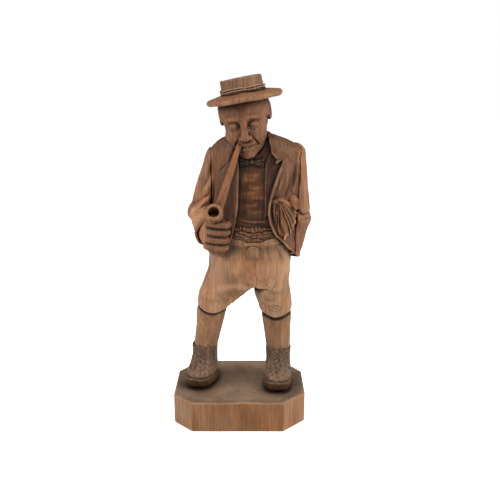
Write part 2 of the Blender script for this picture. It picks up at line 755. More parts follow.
back_folds = [
    (0.8, 0.90, [(8.4, 25), (8.2, 7), (8.0, -13)]),
    (1.8, 0.90, [(-8, 41), (-4, 23), (-8, -1)]),
    (-1.8, 0.90, [(27, 41), (22, 23), (26, -1)]),
    (1.6, 0.70, [(-10, 61), (0, 51), (6, 36)]),
    (-1.6, 0.70, [(31, 61), (21, 51), (14, 36)]),
    (1.3, 0.60, [(-6, 20), (9, 16), (24, 20)]),
]
waistcoat_folds = [
    (1.5, 0.55, [(3.0, 46.2), (8, 45.0), (14, 45.8)]),
    (-1.4, 0.50, [(2.0, 41.0), (6.5, 41.8), (11, 40.8)]),
    (1.6, 0.60, [(6.0, 37.4), (11, 36.8), (17, 38.2)]),
    (1.4, 0.50, [(1.0, 34.4), (6, 33.2), (11.5, 33.4)]),
    (-1.3, 0.45, [(8.5, 29.6), (13, 30.2), (17.4, 29.0)]),
    (1.5, 0.50, [(1.4, 26.4), (7.5, 25.2), (13.0, 25.8)]),
    (1.3, 0.40, [(5.5, 21.6), (11, 20.8), (17.0, 21.8)]),
    (1.0, 0.90, [(-2.0, 16.4), (9, 14.2), (20.4, 14.6)]),
]
chamber_half = 12.5
chamber_top = split_z + 40.0
print("folds of coat, back and waistcoat:", len(coat_folds), len(back_folds), len(waistcoat_folds))


# %% Coat and waistcoat
def coat_form(p, grow=0.0):
    """The coat as one plain form, swollen by grow."""
    rows = [(z, cx, chest_axis[1], rx + grow, ry + grow) for z, cx, rx, ry in coat_rows]
    return oval_stack(p, rows, coat_squareness, ends=1.2)


def torso_field(p):
    x, y, z = p
    before = facing(y, 1.0)
    gap = patch(p, opening)
    open_front = np.maximum(gap, y - 2.0)
    coat = coat_form(p)
    coat = coat + creases(p, coat_folds) * before + creases(p, back_folds) * (1 - before)
    for leaf, proud in ((left_collar, 0.8), (right_collar, 1.0), (right_lapel, 0.5)):
        coat = coat - proud * within(p, leaf, 1.8) * before
    rise = z - split_z
    fall = rise - 59.5 + 0.012 * (x - 9.5) ** 2
    coat = coat - 1.1 * ease(0.5 + fall / 0.9) * (1 - before)
    rolled = ease((x - 16) / 2) * ease((57 - rise) / 2)
    coat = coat - 0.9 * bell(gap - 1.1) * before * rolled
    coat = carve(coat, open_front, 0.7)
    waistcoat = coat_form(p, -coat_thickness) + creases(p, waistcoat_folds) * before
    waistcoat = waistcoat - 1.3 * within(p, lining, 1.0) * before
    swell = (belly(p) + 0.9) * ease((sash_foot(x) + 0.5 - z) / 1.2)
    waistcoat = waistcoat - swell * within(p, opening, 1.0)
    body = join(coat, waistcoat, 0.4)
    body = carve(body, np.maximum(open_front, rise), 0.1)
    body = carve(body, np.maximum(hip_field(p, 0.7), rise), 0.3)
    throat = limb(p, (9.0, -3.5, collar_z - 4.5), (6.5, -3.0, collar_z + 9.0), 9.0, 13.5)
    body = carve(body, throat, 1.2)
    bore = keep(np.hypot(x - chest_axis[0], y - chest_axis[1]) - chamber_half, z - chamber_top, 2.0)
    return carve(body, bore, 0.3)


form(
    "coat_and_waistcoat",
    torso_field,
    ["torso"],
    "upper_half",
    step=0.55,
    stroke=(5.5, 5.5, 11),
    cut=0.34,
    calm=lambda p: 0.6 * within(p, opening, 1.5) * facing(p[1], 1.0),
)

# %% [markdown]
# The sash and the pocket cloth are reliefs: they follow the surface under them and stand proud of it
# by a thickness that varies. The sash hangs in slack strands that sag in the middle, under a crinkled
# upper edge.

# %% Sash
sash_low, sash_high = corner("sash")


def sash_top(x):
    """Height of the sash's crinkled upper edge."""
    crinkle = 0.35 * np.sin(x * 1.9 + 1.4 * np.sin(x * 0.5)) + 0.25 * np.sin(x * 0.63 + 0.4)
    return sash_high[2] + 1.2 + crinkle


def sash_foot(x):
    """Height of the sash's lower edge, which sags in the middle."""
    sag = np.sin(np.clip((x + 6) / 31, 0, 1) * np.pi)
    return sash_low[2] + 6.2 - 3.9 * sag + 0.3 * np.sin(x * 0.71 + 1.0)


def sash_field(p):
    x, y, z = p
    top, low = sash_top(x), sash_foot(x)
    under = coat_form(p, -coat_thickness)
    rise = (z - low) / (top - low)
    thick = 2.3 - 0.9 * ease((rise - 0.45) / 0.55)
    for level, deep, phase in ((0.68, 1.0, 0.3), (0.44, 0.8, 1.9), (0.20, 0.7, 3.4)):
        groove = rise - level - 0.06 * np.sin(x * 0.42 + phase) - 0.03 * np.sin(x * 1.1 + 2 * phase)
        thick = thick - deep * bell(groove / 0.055)
        thick = thick + 0.18 * np.sin(x * 1.6 + 9 * rise + phase) * bell((groove + 0.12) / 0.08)
    frill = np.sin(x * 2.7 + 1.7 * np.sin(x * 0.45) + 4 * rise) * ease((rise - 0.7) / 0.12)
    thick = thick + 0.35 * frill
    relief = keep(under - thick, -(under + 1.6), 0.3)
    band = np.maximum(z - top, low - z)
    sides = patch(p, opening) + 0.15
    return keep(keep(relief, band, 0.8), np.maximum(sides, y - 1.0), 0.3)


form(
    "sash_carved", sash_field, ["sash"], "upper_half", step=0.42, stroke=(2.6, 2.6, 2.2), cut=0.16, margin=4
)

# %% [markdown]
# The bow tie is two wings and a knot. Each wing is pinched at the knot and has one fold along
# its middle.

# %% Bow tie
tie = middle("bow_tie")
tie_low, tie_high = corner("bow_tie")
tie_half = (tie_high[0] - tie_low[0]) / 2 + 0.4


def bow_field(p):
    x, y, z = p[0] - tie[0], p[1] - tie[1], p[2] - tie[2] - 0.8
    across = np.abs(x)
    tall = 1.0 + 1.7 * ease(across / tie_half)
    front_y = -1.2 + 0.5 * np.cos(across * 0.9) + 0.5 * ease((across - 4) / 3)
    outline = np.maximum(across - tie_half, np.abs(z + 0.1 * across) - tall)
    wing = keep(outline, np.maximum(front_y - y, y - 3.0), 1.1)
    wing = wing + 0.4 * bell((z + 0.3) / 0.6) * ease((across - 1) / 2)
    knot = egg((x, y, z), (0, -0.7, 0), (1.6, 1.5, 1.8))
    return join(wing, knot, 0.7)


form("bow_tie_carved", bow_field, ["bow_tie"], "upper_half", step=0.35, stroke=(2.2, 2.2, 2.2), cut=0.12)

# %% [markdown]
# A sleeve is two limbs that meet at the elbow, with deep folds where it bends. A fine groove follows
# the line where it meets the coat, because the armhole seam shows there. His right cuff is wide,
# thin-edged and hollow round the fist; his left sleeve tapers down into the pocket.

# %% Places and folds of the sleeves
sleeve_half = 7.8
elbow_half = 8.0
shoulder_in = 4.0
shoulder_y = (shoulders_low[1] + shoulders_high[1]) / 2
upper_arm_drop = 51.4
elbow_z = collar_z - upper_arm_drop
right_shoulder = np.array([shoulders_low[0] + shoulder_in, shoulder_y, shoulders_low[2] + dowel_half])
left_shoulder = np.array([shoulders_high[0] - shoulder_in, shoulder_y, shoulders_high[2] - dowel_half])
right_elbow = np.array([corner("right_arm")[0][0] + elbow_half, shoulder_y + 2.0, elbow_z])
left_elbow = np.array([corner("left_arm")[1][0] - elbow_half, shoulder_y + 3.0, elbow_z - 4.5])
left_wrist = np.array([36.2, -2.0, collar_z - 79.5])
right_cuff_half = 9.8
left_cuff_half = 5.6
right_sleeve_folds = [
    (1.5, 1.80, [(-19, 33), (-26.5, 27.4), (-35.6, 23.2)]),
    (-1.2, 0.40, [(-21.0, 26.4), (-27, 22.5), (-33, 16)]),
    (1.8, 0.70, [(-18.4, 47), (-23, 38), (-29, 29)]),
    (-1.5, 0.50, [(-15.8, 60), (-18.6, 48), (-23, 37)]),
    (1.2, 0.50, [(-34, 17), (-29.6, 9), (-28, -1)]),
]
left_sleeve_folds = [
    (1.2, 1.60, [(38.6, 21.4), (43.6, 17.6), (50, 19.6)]),
    (-1.0, 0.80, [(40.4, 15), (45, 14.2), (50, 16)]),
    (1.8, 0.60, [(38.4, 54), (41.5, 39), (41.4, 24)]),
    (1.3, 0.50, [(44.4, 35), (46.6, 27), (46, 21)]),
]

print("elbows", np.round(right_elbow, 1), np.round(left_elbow, 1))


# %% Sleeves
def along_axis(p, origin, axis):
    """How far points lie along an axis from its origin."""
    return sum((p[k] - origin[k]) * axis[k] for k in range(3))


def part_way(p, a, b):
    """How far along the line from a to b points lie: 0 at a and 1 at b."""
    line = b - a
    return along_axis(p, a, line) / (line @ line)


def direction(a, b):
    """The direction from a to b, one millimetre long."""
    return (b - a) / np.linalg.norm(b - a)


def sleeve_field(p, shoulder, elbow, end, cuff_half, folds):
    axis = direction(elbow, end)
    reach = along_axis(p, end, axis)
    fore = keep(limb(p, elbow, end, elbow_half, cuff_half), reach - 0.8, 0.9)
    sleeve = join(limb(p, shoulder, elbow, sleeve_half, elbow_half), fore, 2.0)
    sleeve = sleeve + creases(p, folds) * facing(p[1], elbow[1] + 1.0, 1.6)
    seam = coat_form(p)
    sleeve = sleeve + 0.7 * bell((seam - 0.9) / 0.6)
    sleeve = sleeve - 0.4 * ease((reach + 1.6) / 1.2)
    hollow = limb(p, end - axis * 2.0, end + axis * 9.0, cuff_half - 1.6, cuff_half - 0.7)
    return carve(sleeve, hollow, 0.3)


arms = {
    "right": (right_shoulder, right_elbow, wrist, right_cuff_half, right_sleeve_folds),
    "left": (left_shoulder, left_elbow, left_wrist, left_cuff_half, left_sleeve_folds),
}
for side, arm in arms.items():
    form(
        f"{side}_sleeve",
        lambda p, arm=arm: sleeve_field(p, *arm),
        [f"{side}_arm"],
        "upper_half",
        step=0.5,
        stroke=(6.5, 6.5, 14),
        cut=0.5,
    )

# %% [markdown]
# The fist: four fingers stacked round the pipe, a thumb behind the bowl, and a palm that stands in
# the cuff. The fingers are thinner than they are far apart, so the gaps between them are deep and
# dark.

# %% Pipe hand
hand_low, hand_high = corner("right_hand")
fist = np.array([hand_high[0] - 8.8, hand_low[1] + 10.5, hand_low[2] + 11.4])
finger_pitch = 5.05
finger_half = 2.35
finger_bends = [
    (-6.4, -2.6, 0.5), (-4.0, -6.0, 0.6), (0.0, -7.6, 0.2), (4.0, -5.6, -0.4), (5.8, -1.2, -0.8),
]


def hand_field(p):
    palm = egg(p, fist + (-0.8, 0.5, 0.8), (7.0, 7.4, 9.8))
    back = egg(p, fist + (-6.2, 2.6, 0.6), (4.8, 7.0, 9.2))
    back = join(back, limb(p, wrist, fist + (-4.0, 3.0, 0.4), 8.0, 7.6), 2.0)
    hand = join(palm, back, 2.0)
    for k in range(4):
        root = fist + np.array([0.5 * (k - 1.9), 0, (k - 1.5) * finger_pitch + 0.9])
        finger = cord_of(p, [root + np.array(bend) for bend in finger_bends], finger_half)
        hand = join(hand, finger, 0.9)
    thumb = limb(p, fist + (-1.0, 5.5, 4.0), fist + (2.4, 2.0, 8.0), 3.3, 2.5)
    hand = join(hand, thumb, 0.9)
    axis = direction(right_elbow, wrist)
    return keep(hand, -along_axis(p, wrist - axis * 1.5, axis), 0.4)


form("pipe_fist", hand_field, ["right_hand"], "upper_half", step=0.38, stroke=(2.6, 2.6, 2.2), cut=0.2)

# %% [markdown]
# The pipe is a long stem, thicker towards the bowl, and a bowl that tips forward so that its bore
# shows.

# %% Pipe
bowl_tip = np.radians(40.0)
bowl_axis = np.array([0.0, -np.cos(bowl_tip), np.sin(bowl_tip)])
bowl_length = 14.0
bowl_foot = middle("pipe_bowl") - bowl_axis * bowl_length / 2
bowl_bore_half = 3.6
bowl_bore_depth = 9.0
stem_mouth = corner("pipe_stem")[1] - (1.6, 1.5, 0.6)
stem_mouth_half = 1.65
stem_bowl_half = 3.15


def bowl_field(p):
    reach = along_axis(p, bowl_foot, bowl_axis)
    square = sum((p[k] - bowl_foot[k]) ** 2 for k in range(3)) - reach**2
    across = np.sqrt(np.maximum(square, 0))
    outline = curve(reach, [-0.5, 1.5, 5, 9, 12.2, 13.2, 14.2], [2.6, 4.5, 5.6, 5.95, 5.8, 6.05, 5.8])
    bowl = keep(across - outline, np.maximum(-0.5 - reach, reach - bowl_length), 1.0)
    bore = np.maximum(across - bowl_bore_half, bowl_length - bowl_bore_depth - reach)
    return carve(bowl, bore, 0.7)


def stem_field(p):
    part = part_way(p, stem_mouth, bowl_foot)
    stem = limb(p, stem_mouth, bowl_foot, stem_mouth_half, stem_bowl_half)
    stem = stem + 0.4 * bell((part - 0.86) / 0.008)
    return carve(stem, bowl_field(p) - 0.1, 0.3)


form(
    "pipe_bowl_turned", bowl_field, ["pipe_bowl"], "upper_half", step=0.35, stroke=(2.6, 2.6, 2.6), cut=0.14
)
form(
    "pipe_stem_carved", stem_field, ["pipe_stem"], "upper_half", step=0.38, stroke=(2.2, 2.2, 12), cut=0.18
)

# %% [markdown]
# The head is a plain, calm carver's head set out on the usual thirds: brow, foot of the nose and chin
# are a third of the face apart, the eyes half-way up the head and one eye's width apart. It leans
# with the hat.

# %% Levels of the head
head_low, head_high = corner("head")
head_height = 42.0
third = 13.2
chin_z = head_high[2] - head_height
head_middle = np.array([(head_low[0] + head_high[0]) / 2, -2.5, chin_z + head_height / 2 - 0.5])
head_lean = dict(about_y=-8.0, about_z=-5.0, about_x=8.0)
chin_level = -20.0
nose_level = chin_level + third
brow_level = chin_level + 2 * third
eye_level = 1.8
eye_apart = 6.0
mouth_level = chin_level + 0.64 * third

print("brow, nose and mouth over the head's middle:", brow_level, nose_level, mouth_level)


# %% Head
def head_field(p):
    q = turned(p, head_middle, **head_lean)
    sides = (np.abs(q[0]), q[1], q[2])
    skull = egg(q, (0, 1.5, 6.5), (15.2, 17.2, 16.2))
    head = join(skull, egg(q, (0, -3.8, -7.5), (12.6, 12.2, 13.4)), 6.0)
    head = join(head, egg(q, (0, 2.0, 12.0), (15.4, 16.4, 12.0)), 3.0)
    head = join(head, egg(sides, (8.0, -9.6, -4.6), (5.2, 5.2, 5.2)), 3.5)
    head = join(head, egg(q, (0, -12.2, chin_level + 3.3), (5.2, 4.2, 3.9)), 3.0)
    brow = [(0.0, -15.4, -0.7), (5.0, -14.9, 0.7), (10.2, -12.0, -0.2)]
    brow = [(px, py, brow_level + pz) for px, py, pz in brow]
    head = join(head, cord_of(sides, brow, 1.6), 2.0)
    head = carve(head, egg(sides, (eye_apart, -16.6, eye_level), (4.0, 3.2, 2.6)), 2.0)
    head = join(head, egg(sides, (eye_apart, -12.7, eye_level), (3.1, 2.6, 2.3)), 0.3)
    lid = egg(sides, (eye_apart, -12.6, eye_level + 0.2), (3.5, 3.1, 2.7))
    head = join(head, keep(lid, eye_level - 0.3 - 0.05 * q[0] ** 2 / eye_apart - q[2], 0.3), 0.4)
    pouch = [(3.2, -14.3, -0.9), (5.0, -14.6, -2.0), (7.0, -14.2, -1.9), (8.7, -13.2, -0.7)]
    pouch = [(px, py, pz + eye_level) for px, py, pz in pouch]
    head = join(head, cord_of(sides, pouch, 0.4), 0.8)
    head = join(head, limb(q, (0, -14.4, brow_level - 0.8), (0, -19.2, nose_level + 2.4), 1.7, 2.4), 1.8)
    head = join(head, egg(q, (0, -19.4, nose_level + 1.7), (2.7, 2.6, 2.3)), 1.0)
    head = join(head, egg(sides, (2.7, -17.0, nose_level + 1.2), (1.8, 2.3, 1.7)), 0.8)
    cheek_line = [(4.0, -16.0, nose_level + 1.2), (6.2, -14.4, nose_level - 1.6), (7.4, -12.4, mouth_level)]
    head = carve(head, cord_of(sides, cheek_line, 0.4), 0.9)
    head = join(head, egg(q, (0, -14.9, mouth_level + 1.9), (5.2, 2.2, 1.8)), 1.6)
    head = join(head, egg(q, (0, -14.9, mouth_level - 1.6), (4.4, 2.2, 1.6)), 1.4)
    lips = [(0.0, -17.1, mouth_level - 0.2), (3.2, -16.3, mouth_level + 0.1), (6.6, -13.6, mouth_level)]
    head = carve(head, cord_of(sides, lips, 0.45), 0.6)
    ear = egg(sides, (15.8, 2.5, 6.6), (2.1, 3.9, 6.4))
    ear = carve(ear, egg(sides, (17.7, 1.6, 6.8), (1.5, 2.3, 4.2)), 0.9)
    around = np.arctan2(q[0], q[1])
    hair = ease((q[1] - 3.5) / 2.5) * ease((q[2] + 10.0) / 3.0)
    temple = ease((q[1] + 8.0) / 3.0) * ease((q[2] - 3.0) / 2.5) * ease((np.abs(q[0]) - 11.5) / 2.0)
    hair = np.maximum(hair, temple)
    head = head - hair * (0.9 + 0.28 * np.sin(around * 46 + 0.6 * np.sin(q[2] * 0.7)))
    head = join(head, ear, 0.8)
    nape = (head_middle[0] + 1.6, -1.0, collar_z + 3.0)
    neck = limb(p, (*chest_axis[:2], collar_z - 13.0), nape, 9.0, 9.4)
    return join(head, neck, 3.0)


form("head_carved", head_field, ["head"], "upper_half", step=0.4, stroke=(2.8, 2.8, 3.4), cut=0.17)

# %% [markdown]
# The straw-style hat sits tipped to his right. Its brim has a thick rounded edge that no lathe ever
# touched, so its height and its rim wander a little on the way round; the crown draws in slightly
# above the band.

# %% Hat
hat_middle = middle("hat_brim")
hat_lean = dict(about_y=-10.0, about_x=-1.5)
brim_half = 25.2
brim_edge = 1.7
brim_root = 12.0
brim_reach = 23.2
crown_foot = 14.6
crown_foot_z = 2.4
crown_top_z = 12.0


def in_hat(p):
    """Points as seen from the tipped hat, then their distance from its axis and their way round it."""
    x, y, z = turned(p, hat_middle, **hat_lean)
    return x, y, z, np.hypot(x, y), np.arctan2(y, x)


def brim_field(p):
    x, y, z, across, around = in_hat(p)
    wander = 0.03 * y + 0.35 * np.sin(2 * around + 0.8)
    wander = wander + 0.25 * np.sin(3 * around - 0.4) + 0.15 * np.sin(7 * around)
    rim = brim_half - brim_edge - 0.3 + 0.35 * np.sin(3 * around + 2.0) + 0.2 * np.sin(5 * around)
    flat = np.zeros_like(x)
    level = (across / rim * brim_reach, flat, z - wander)
    slope = limb(level, (brim_root, 0, 1.4), (brim_reach, 0, -1.2), 1.5, brim_edge)
    hub = np.maximum(across - 13.0, np.abs(z - 1.6) - 1.5)
    return join(slope, hub, 1.0)


def crown_field(p):
    x, y, z, across, around = in_hat(p)
    outline = curve(z, [crown_foot_z, 5.5, 9.0, crown_top_z], [crown_foot, 13.8, 13.5, 13.7])
    outline = outline + 0.2 * np.sin(2 * around + 0.5) + 0.12 * np.sin(5 * around)
    top = z - crown_top_z + 0.35 * ease(1 - across / 11.0) - 0.2 * np.sin(x * 0.2 + 0.5)
    return keep(keep(across - outline, top, 1.3), crown_foot_z - z, 0.3)


form("hat_brim_carved", brim_field, ["hat_brim"], "upper_half", step=0.48, stroke=(10, 10, 6), cut=0.18)
form("hat_crown_carved", crown_field, ["hat_crown"], "upper_half", step=0.48, stroke=(5, 5, 8), cut=0.18)

# %% [markdown]
# A gathered cloth hangs at his left side. Its outline is drawn on the front view; uneven pleats run
# down from the bunched top, laid over the coat and sleeve as a relief. A smooth puff of the same
# cloth swells beside the top.

# %% Pocket cloth
gather = np.array([25.4, 35.0])
cloth_outline = [
    (22.2, 29.0), (24.6, 32.2), (28.8, 31.2), (33.0, 29.0), (39.2, 23.0), (39.4, 17.5),
    (37.4, 10.5), (33.6, 6.4), (29.6, 3.4), (27.2, 8.0), (24.2, 16.0), (22.4, 23.0),
]


def cloth_field(p):
    x, y, z = p
    across, down = x - gather[0], gather[1] - (z - split_z)
    reach = np.hypot(across, down)
    fan = np.arctan2(across, down) * 18.0
    fan = fan + 0.6 * np.sin(fan * 0.9) + 0.4 * np.sin(reach * 0.35 + fan * 0.6)
    frayed = 0.5 * np.sin(fan * 2.9 + 1.0) + 0.4 * np.sin(fan * 5.3)
    edge = patch(p, cloth_outline) + frayed * ease((reach - 12) / 8)
    under = join(coat_form(p), limb(p, left_elbow, left_wrist, elbow_half, left_cuff_half), 3.0)
    pleat = np.abs(np.sin(fan * 1.35)) ** 0.5 + 0.35 * np.abs(np.sin(fan * 3.1 + 0.6)) ** 0.7
    thick = 0.8 + 1.5 * ease(-edge / 5.0) + (1.6 * pleat - 1.1) * ease((reach - 4.0) / 4.0)
    relief = keep(under - thick, -(under + 2.4), 0.4)
    fold = keep(keep(relief, edge, 0.8), y - 2.0, 0.5)
    top_z = split_z + 30.6
    knob = egg(p, (24.2, -17.2, top_z - 0.6), (2.0, 1.8, 1.7))
    knob = join(knob, egg(p, (27.4, -17.0, top_z + 0.4), (2.3, 1.9, 1.5)), 0.6)
    q = turned(p, (36.2, -8.6, split_z + 28.6), about_y=-32.0)
    puff = egg(q, (0, 0, 0), (3.7, 4.6, 6.0))
    return join(join(fold, knob, 0.9), puff, 0.8)


form(
    "pocket_cloth_carved",
    cloth_field,
    ["pocket_cloth"],
    "upper_half",
    step=0.4,
    stroke=(2, 2, 5),
    cut=0.12,
    margin=6,
)

# %% [markdown]
# Materials. The figure is one pale, close-grained wood such as lime, stained brown and waxed. Stain
# sinks in unevenly along the upright grain, wax stays dark in the cuts, and handled edges wear pale.
# Each mesh carries four attributes for this: `wax` for the cuts, `wear` for the edges, `tone` for
# wood that took more or less stain, and `warm` for redder or greyer wood. Everything else is noise on
# object coordinates, scaled from real millimetres.


# %% Colours and nodes
def linear(code):
    """An sRGB hex colour as the linear values that Blender works with."""
    parts = [int(code[k : k + 2], 16) / 255 for k in (1, 3, 5)]
    return tuple(c / 12.92 if c <= 0.04045 else ((c + 0.055) / 1.055) ** 2.4 for c in parts) + (1.0,)


def add(tree, kind, inputs=None, **settings):
    """Adds a node, with its settings, and its inputs as values or as the sockets they are linked from."""
    made = tree.nodes.new(kind)
    for key, value in settings.items():
        setattr(made, key, value)
    for key, value in (inputs or {}).items():
        if isinstance(value, bpy.types.NodeSocket):
            tree.links.new(value, made.inputs[key])
        else:
            made.inputs[key].default_value = value
    return made


def blank(name):
    """A new material with an empty tree."""
    made = bpy.data.materials.new(name)
    made.use_nodes = True
    made.node_tree.nodes.clear()
    return made, made.node_tree


def per_mm(x, y, z):
    """Noise cells of these sizes in millimetres, as a mapping scale for coordinates in metres."""
    return (1 / (x * MM), 1 / (y * MM), 1 / (z * MM))


print("linear value of a middle grey:", round(linear("#808080")[0], 3))

# %% [markdown]
# `stained_wood` is the finish of every carved piece. Grain streaks are drawn 1.1 to 1.5 mm wide,
# coarser than lime's real grain, because finer ones vanish at the size of the picture. The sockets of
# the tree are kept in one dictionary by name, so that the tables below read like a recipe: first the
# noises and the attributes, then their ranges, then the sums that join them.


# %% Stained and waxed wood
def stained_wood(name, dark, mid, light, wax, worn, grain_mm):
    made, tree = blank(name)
    place = add(tree, "ShaderNodeTexCoord").outputs["Object"]
    streaky = {"Detail": 4.0, "Roughness": 0.6, "Distortion": 0.5}
    noises = {
        "streak": (per_mm(grain_mm, grain_mm, grain_mm * 20), streaky),
        "figure": (per_mm(9, 9, 34), {"Detail": 3.0}),
        "pore": (per_mm(0.5, 0.5, 5), {"Detail": 1.0}),
        "cloud": (per_mm(14, 14, 24), {}),
    }
    sockets = {}
    for key, (cells, nature) in noises.items():
        space = add(tree, "ShaderNodeMapping", {"Vector": place, "Scale": cells})
        noise = add(tree, "ShaderNodeTexNoise", {"Vector": space.outputs[0], "Scale": 1.0, **nature})
        sockets[key] = noise.outputs["Fac"]
    for key in ("tone", "warm", "wear", "wax"):
        sockets[key] = add(tree, "ShaderNodeAttribute", attribute_name=key).outputs["Fac"]
    ranges = {
        "patchy": ("figure", 0.35, 0.68, 0.82, 1.16),
        "pores": ("pore", 0.62, 0.72, 1.0, 0.86),
        "cloudy": ("cloud", 0.0, 1.0, -1.3, 1.3),
        "polish": ("streak", 0.3, 0.7, 0.63, 0.49),
    }
    for key, (source, *ends) in ranges.items():
        ends = dict(zip(("From Min", "From Max", "To Min", "To Max"), ends))
        sockets[key] = add(tree, "ShaderNodeMapRange", {"Value": sockets[source], **ends}).outputs["Result"]
    sums = [
        ("stained", "MULTIPLY_ADD", "tone", 0.5, "patchy"),
        ("level", "MULTIPLY", "stained", "pores"),
        ("warmth", "ADD", "warm", "cloudy"),
        ("hue", "MULTIPLY_ADD", "warmth", -0.006, 0.5),
        ("saturation", "MULTIPLY_ADD", "warmth", 0.12, 1.0),
        ("handled", "MULTIPLY", "wear", "streak"),
        ("rubbed", "MULTIPLY", "handled", 1.5),
        ("height", "MULTIPLY_ADD", "pore", 0.6, "streak"),
    ]
    for key, operation, *terms in sums:
        terms = [sockets.get(term, term) for term in terms]
        sockets[key] = add(tree, "ShaderNodeMath", dict(enumerate(terms)), operation=operation).outputs[0]
    ramp = add(tree, "ShaderNodeValToRGB", {"Fac": sockets["streak"]})
    ramp.color_ramp.elements[0].position = 0.30
    ramp.color_ramp.elements[0].color = linear(dark)
    ramp.color_ramp.elements[1].position = 0.72
    ramp.color_ramp.elements[1].color = linear(light)
    ramp.color_ramp.elements.new(0.5).color = linear(mid)
    shade = {"Hue": sockets["hue"], "Saturation": sockets["saturation"], "Value": sockets["level"]}
    colour = add(tree, "ShaderNodeHueSaturation", {**shade, "Color": ramp.outputs[0]}).outputs[0]
    for key, over in (("rubbed", worn), ("wax", wax)):
        layer = {0: sockets[key], 6: colour, 7: linear(over)}
        colour = add(tree, "ShaderNodeMix", layer, data_type="RGBA").outputs[2]
    bump = add(tree, "ShaderNodeBump", {"Height": sockets["height"], "Strength": 0.3, "Distance": 0.2 * MM})
    surface = {"Base Color": colour, "Roughness": sockets["polish"], "Normal": bump.outputs[0]}
    shader = add(tree, "ShaderNodeBsdfPrincipled", {**surface, "Specular IOR Level": 0.2})
    add(tree, "ShaderNodeOutputMaterial", {"Surface": shader.outputs[0]})
    return made


# %% The stains
# A stain: its name, the dark, middle and light grain, the wax, the worn edges, the grain's width in mm.
stains = {
    "plinth_wood": ("sawn_lime_stained", "#765239", "#866042", "#956d4c", "#33211a", "#a9805f", 1.1),
    "boot_wood": ("boot_lime_dark_wax", "#4f3b2c", "#674e3b", "#7b614b", "#241812", "#937964", 1.4),
    "breeches_wood": ("breeches_lime_stained", "#84603f", "#977052", "#aa8162", "#33221a", "#bf967a", 1.5),
    "coat_wood": ("coat_lime_stained", "#65442f", "#7e583e", "#92694d", "#22150e", "#b89070", 1.5),
    "flesh_wood": ("flesh_lime_stained", "#694832", "#815b43", "#966d53", "#271812", "#b48c70", 1.2),
    "pipe_wood": ("pipe_lime_stained", "#6d4830", "#83593e", "#986d4f", "#20130c", "#b68e6e", 1.2),
    "hat_wood": ("hat_lime_stained", "#6a4b34", "#805c43", "#946e53", "#271912", "#c6a789", 1.3),
}
woods = {slot: stained_wood(*stain) for slot, stain in stains.items()}
print("woods:", ", ".join(m.name for m in woods.values()))

# %% [markdown]
# Before skinning, all forms are read once on a coarse grid. A point just outside the surface normally
# has that much free room round it; in a corner it has less, and that is where wax and dust stay.

# %% Free room round the forms
ROOM_STEP = 1.5
ROOM_REACH = 12.0
room_low = np.min([f["low"] for f in forms.values()], axis=0) - ROOM_REACH
room_high = np.max([f["high"] for f in forms.values()], axis=0) + ROOM_REACH
room_axes = [np.arange(a, b, ROOM_STEP) for a, b in zip(room_low, room_high)]
room = np.full([len(a) for a in room_axes], ROOM_REACH, np.float32)
for spec in forms.values():
    reached = zip(room_axes, spec["low"] - ROOM_REACH, spec["high"] + ROOM_REACH)
    spans = tuple(slice(*np.searchsorted(axis, ends)) for axis, *ends in reached)
    grid = np.meshgrid(*[axis[span] for axis, span in zip(room_axes, spans)], indexing="ij")
    room[spans] = np.minimum(room[spans], spec["field"](tuple(grid)))


def room_at(points):
    """Free distance at points, read between the grid's points."""
    q = (points - room_low) / ROOM_STEP
    home = np.clip(np.floor(q).astype(int), 0, np.array(room.shape) - 2)
    part = np.clip(q - home, 0, 1)
    total = np.zeros(len(points))
    for spot in product((0, 1), repeat=3):
        weight = 1.0
        for n, side in enumerate(spot):
            weight = weight * (part[:, n] if side else 1 - part[:, n])
        total += weight * room[tuple((home + spot).T)]
    return total


print("room grid", room.shape)

# %% [markdown]
# Skinning. Each form becomes a mesh, the knife strokes move its points, and the attributes are
# measured on the result: where the surface lies under its smoothed self it is a cut, where it stands
# above it is an edge.


# %% Mesh helpers
def ring_edges(faces):
    """The start and the end of every edge, going round each face."""
    return faces.reshape(-1), np.roll(faces, -1, axis=1).reshape(-1)


def spread(values, start, end, degree):
    """Mean of the values at each point's neighbours."""
    return np.bincount(start, weights=values[end], minlength=len(degree)) / degree


def normals_of(points, faces):
    """Outward direction at each point, from the faces round it."""
    cross = np.cross(points[faces[:, 2]] - points[faces[:, 0]], points[faces[:, 3]] - points[faces[:, 1]])
    total = np.zeros_like(points)
    for k in range(4):
        for axis in range(3):
            total[:, axis] += np.bincount(faces[:, k], weights=cross[:, axis], minlength=len(points))
    return total / np.maximum(np.linalg.norm(total, axis=1, keepdims=True), 1e-9)


def largest_part(points, faces, outward):
    """Drops loose specks: only the largest connected part of a mesh is kept."""
    start, end = ring_edges(faces)
    label = np.arange(len(points))
    while True:
        lower = label.copy()
        np.minimum.at(lower, start, label[end])
        np.minimum.at(lower, end, label[start])
        lower = lower[lower]
        if (lower == label).all():
            break
        label = lower
    best = np.bincount(label).argmax()
    kept = label == best
    number = np.cumsum(kept) - 1
    return points[kept], number[faces[kept[faces[:, 0]]]], outward[kept]


def above_smooth(points, normals, start, end, degree, rounds):
    """How far each point stands above the surface smoothed over some rounds, in mm."""
    calm = points.copy()
    for _ in range(rounds):
        for axis in range(3):
            calm[:, axis] = 0.5 * calm[:, axis] + 0.5 * spread(calm[:, axis], start, end, degree)
    return ((points - calm) * normals).sum(1)


def plain_mesh(name, points, faces, attributes):
    """An object made from points in millimetres, with point attributes."""
    mesh = bpy.data.meshes.new(name)
    mesh.from_pydata((points * MM).tolist(), [], faces.tolist())
    for key, values in attributes.items():
        layer = mesh.attributes.new(key, "FLOAT", "POINT")
        layer.data.foreach_set("value", values.astype(np.float32))
    mesh.polygons.foreach_set("use_smooth", np.ones(len(faces), bool))
    mesh.update()
    made = bpy.data.objects.new(name, mesh)
    bpy.context.scene.collection.objects.link(made)
    return made


